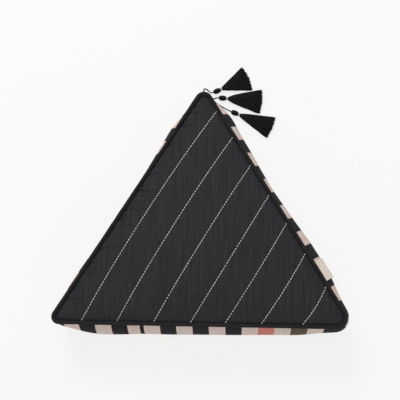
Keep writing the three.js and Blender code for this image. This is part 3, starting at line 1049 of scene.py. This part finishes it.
def tassel_skirt(tassel, tree, material):
    obj = make_object(tassel["name"] + "_yarn_skirt", [(0, 0, 0)], [])
    grow(obj, tree, {
        "Strands": float(STRANDS), "Length": tassel["length"] * 1.03 * MM,
        "Half width": tassel["width"] / 2 * MM,
        "Height": (SKIRT_HEIGHT - 3 * YARN_RADIUS) * MM, "Neck": NECK_RADIUS * 0.9 * MM,
        "Yarn radius": YARN_RADIUS * MM, "Wave": STRAND_WAVE * MM}, material)
    strands = points_of(obj.data) / MM + (SKIRT_START - 0.6, 0, 0)
    strands[:, 1] *= bell(tassel, strands[:, 0])
    strands[:, 2] = np.clip(strands[:, 2], 0.05, SKIRT_HEIGHT + 1)
    set_points(obj.data, lay(tassel, strands))
    core_points, core_faces = skirt_core(tassel)
    core_points[:, 1] *= bell(tassel, core_points[:, 0])
    core = bpy.data.meshes.new("core")
    core.from_pydata([tuple(p) for p in lay(tassel, core_points)], [], core_faces)
    core.materials.append(material)
    both = bmesh.new()
    both.from_mesh(obj.data)
    both.from_mesh(core)
    both.to_mesh(obj.data)
    both.free()
    bpy.data.meshes.remove(core)
    return obj


# %% Make the tassels
black_yarn = cotton_thread("black cotton yarn", "#090b0d", "#191b1e")
pale_thread = cotton_thread("pale binding thread", "#a39d92", "#c9c4ba")
strand_tree = skirt_tree(black_yarn)
heads, necks, skirts = {}, {}, {}
for tassel in TASSELS:
    name = tassel["name"]
    heads[name], necks[name] = tassel_head(tassel), tassel_neck(tassel)
    skirts[name] = tassel_skirt(tassel, strand_tree, black_yarn)
    heads[name].data.materials.append(black_yarn)
    necks[name].data.materials.append(pale_thread)
    cords[name][0].data.materials.append(black_yarn)
    print(name, "skirt:", len(skirts[name].data.polygons), "faces")

# %% [markdown]
# The side tab
#
# A short length of beige tape is folded in two and caught under the piping near the right corner. It
# is left plain. The section is drawn once, from the seam out to the fold and back, and pushed along the
# side, so the rounded fold and the tape's thickness come together.

# %% Tab
TAB_CENTRE = 409.0
TAB_LENGTH = 41.0
TAB_THICKNESS = 1.4
TAB_SECTION = [(2.2, 2.6), (7.5, 5.0), (11, 7.2), (14.5, 9.3), (17.5, 11.5), (20, 14.2), (22, 17.5)]
TAB_STATIONS = 24


def tab_outline():
    middle = np.array(TAB_SECTION)
    middle = np.column_stack([middle[:, 0], FRONT_SEAM_Z - middle[:, 1]])
    heading = np.gradient(middle, axis=0)
    heading /= np.linalg.norm(heading, axis=1)[:, None]
    upward = np.column_stack([-heading[:, 1], heading[:, 0]])
    half = TAB_THICKNESS / 2
    lift = middle + upward * half
    fold = [lift[-1] + heading[-1] * half * math.sin(a) - upward[-1] * half * (1 - math.cos(a))
            for a in np.linspace(0.3, math.pi - 0.3, 5)]
    return np.vstack([lift + upward * half, fold + upward[-1] * half, lift[::-1] - upward[::-1] * half])


def side_tab():
    outline = tab_outline()
    shares = np.linspace(-0.5, 0.5, TAB_STATIONS)
    points = []
    for share in shares:
        run = TAB_CENTRE + share * TAB_LENGTH
        base = corner_points[0] - side_along[2] * run
        flare = 0.5 * math.sin(9 * share)
        flat = base + np.outer(outline[:, 0], side_normals[2])
        points.append(np.column_stack([flat, outline[:, 1] + flare * (outline[:, 0] / 22) ** 2]))
    count = len(outline)
    faces = [face[::-1] for face in skin(TAB_STATIONS - 1, count)]
    return make_object("folded_side_tab", np.vstack(points) * MM, faces, smooth=False)


def beige_tape():
    material, tree, shader = new_material("beige woven tape", 0.85)
    place = add(tree, "ShaderNodeTexCoord").outputs["Object"]
    tone, height = canvas_threads(tree, place)
    tree.links.new(mix(tree, widen(tree, tone, 0.3, 0.7), linear("#cdbfb4"), linear("#e3d7cc")),
                   shader.inputs["Base Color"])
    raise_threads(tree, shader, height, 0.3)
    return material


tab = side_tab()
tab.data.materials.append(beige_tape())

# %% [markdown]
# Floor and light
#
# A product table: a pale sheet that glows a little, an even white sky, a soft key lamp beyond
# the apex, which shows the puckers, and a weak fill on the base side. The sheet's glow is painted light,
# which keeps the shadows on it faint. The view transform is Standard, so a colour in even light comes out
# close to the hex value that was written for it.

# %% Stage
FLOOR_SIZE = 24.0
FLOOR_GLOW = 0.8
SKY_STRENGTH = 0.6
LAMPS = [
    {"name": "key lamp", "size": 1.4, "power": 50.0, "at": (-0.7, 1.8, 2.1)},
    {"name": "front fill", "size": 2.0, "power": 9.0, "at": (0.1, -2.2, 1.1)},
]

scene.view_settings.view_transform = "Standard"
half = FLOOR_SIZE / 2
floor_corners = [(-half, -half, 0), (half, -half, 0), (half, half, 0), (-half, half, 0)]
floor = make_object("floor", floor_corners, [(0, 1, 2, 3)])
floor_material, floor_tree, floor_shader = new_material("glowing pale sheet", 0.95)
floor_place = add(floor_tree, "ShaderNodeTexCoord").outputs["Object"]
grain = add(floor_tree, "ShaderNodeTexNoise", {"Vector": floor_place, "Scale": 40.0}).outputs[0]
floor_colour = mix(floor_tree, grain, linear("#646464"), linear("#666666"))
floor_tree.links.new(floor_colour, floor_shader.inputs["Base Color"])
# The emission is painted light: the sheet glows by itself, so the shadows on it stay faint.
floor_shader.inputs["Emission Color"].default_value = (1, 1, 1, 1)
floor_shader.inputs["Emission Strength"].default_value = FLOOR_GLOW
floor.data.materials.append(floor_material)

# %% Sky and lamp
world = bpy.data.worlds.new("white sky")
world.use_nodes = True
world.node_tree.nodes["Background"].inputs["Color"].default_value = (1, 1, 1, 1)
world.node_tree.nodes["Background"].inputs["Strength"].default_value = SKY_STRENGTH
scene.world = world
for plan in LAMPS:
    lamp_data = bpy.data.lights.new(plan["name"], "AREA")
    lamp_data.size = plan["size"]
    lamp_data.energy = plan["power"]
    lamp = bpy.data.objects.new(plan["name"], lamp_data)
    lamp.location = plan["at"]
    lamp.rotation_euler = (Vector((0, 0.1, 0)) - Vector(plan["at"])).to_track_quat("-Z", "Y").to_euler()
    scene.collection.objects.link(lamp)

# %% [markdown]
# Attaching the pieces
#
# Each piece now rides with the cushion, and the CAD node that it stands for, if any, is hidden.

for obj, nodes, slot in (
        (cover, ("cushion_body",), "cover"), (stitches, (), "cover"), (tab, ("side_tab",), "tab"),
        (front_piping, ("front_piping",), "piping"), (back_piping, ("back_piping",), "piping")):
    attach(obj, "root")
    if nodes:
        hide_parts(*nodes)
for tassel in TASSELS:
    name = tassel["name"]
    cord, path, length = cords[name]
    for obj, node, slot in ((cord, "_cord", "yarn"), (heads[name], "_head", "yarn"),
                            (necks[name], "_neck", "binding"), (skirts[name], "_skirt", "yarn")):
        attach(obj, "root")
        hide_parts(name + node)
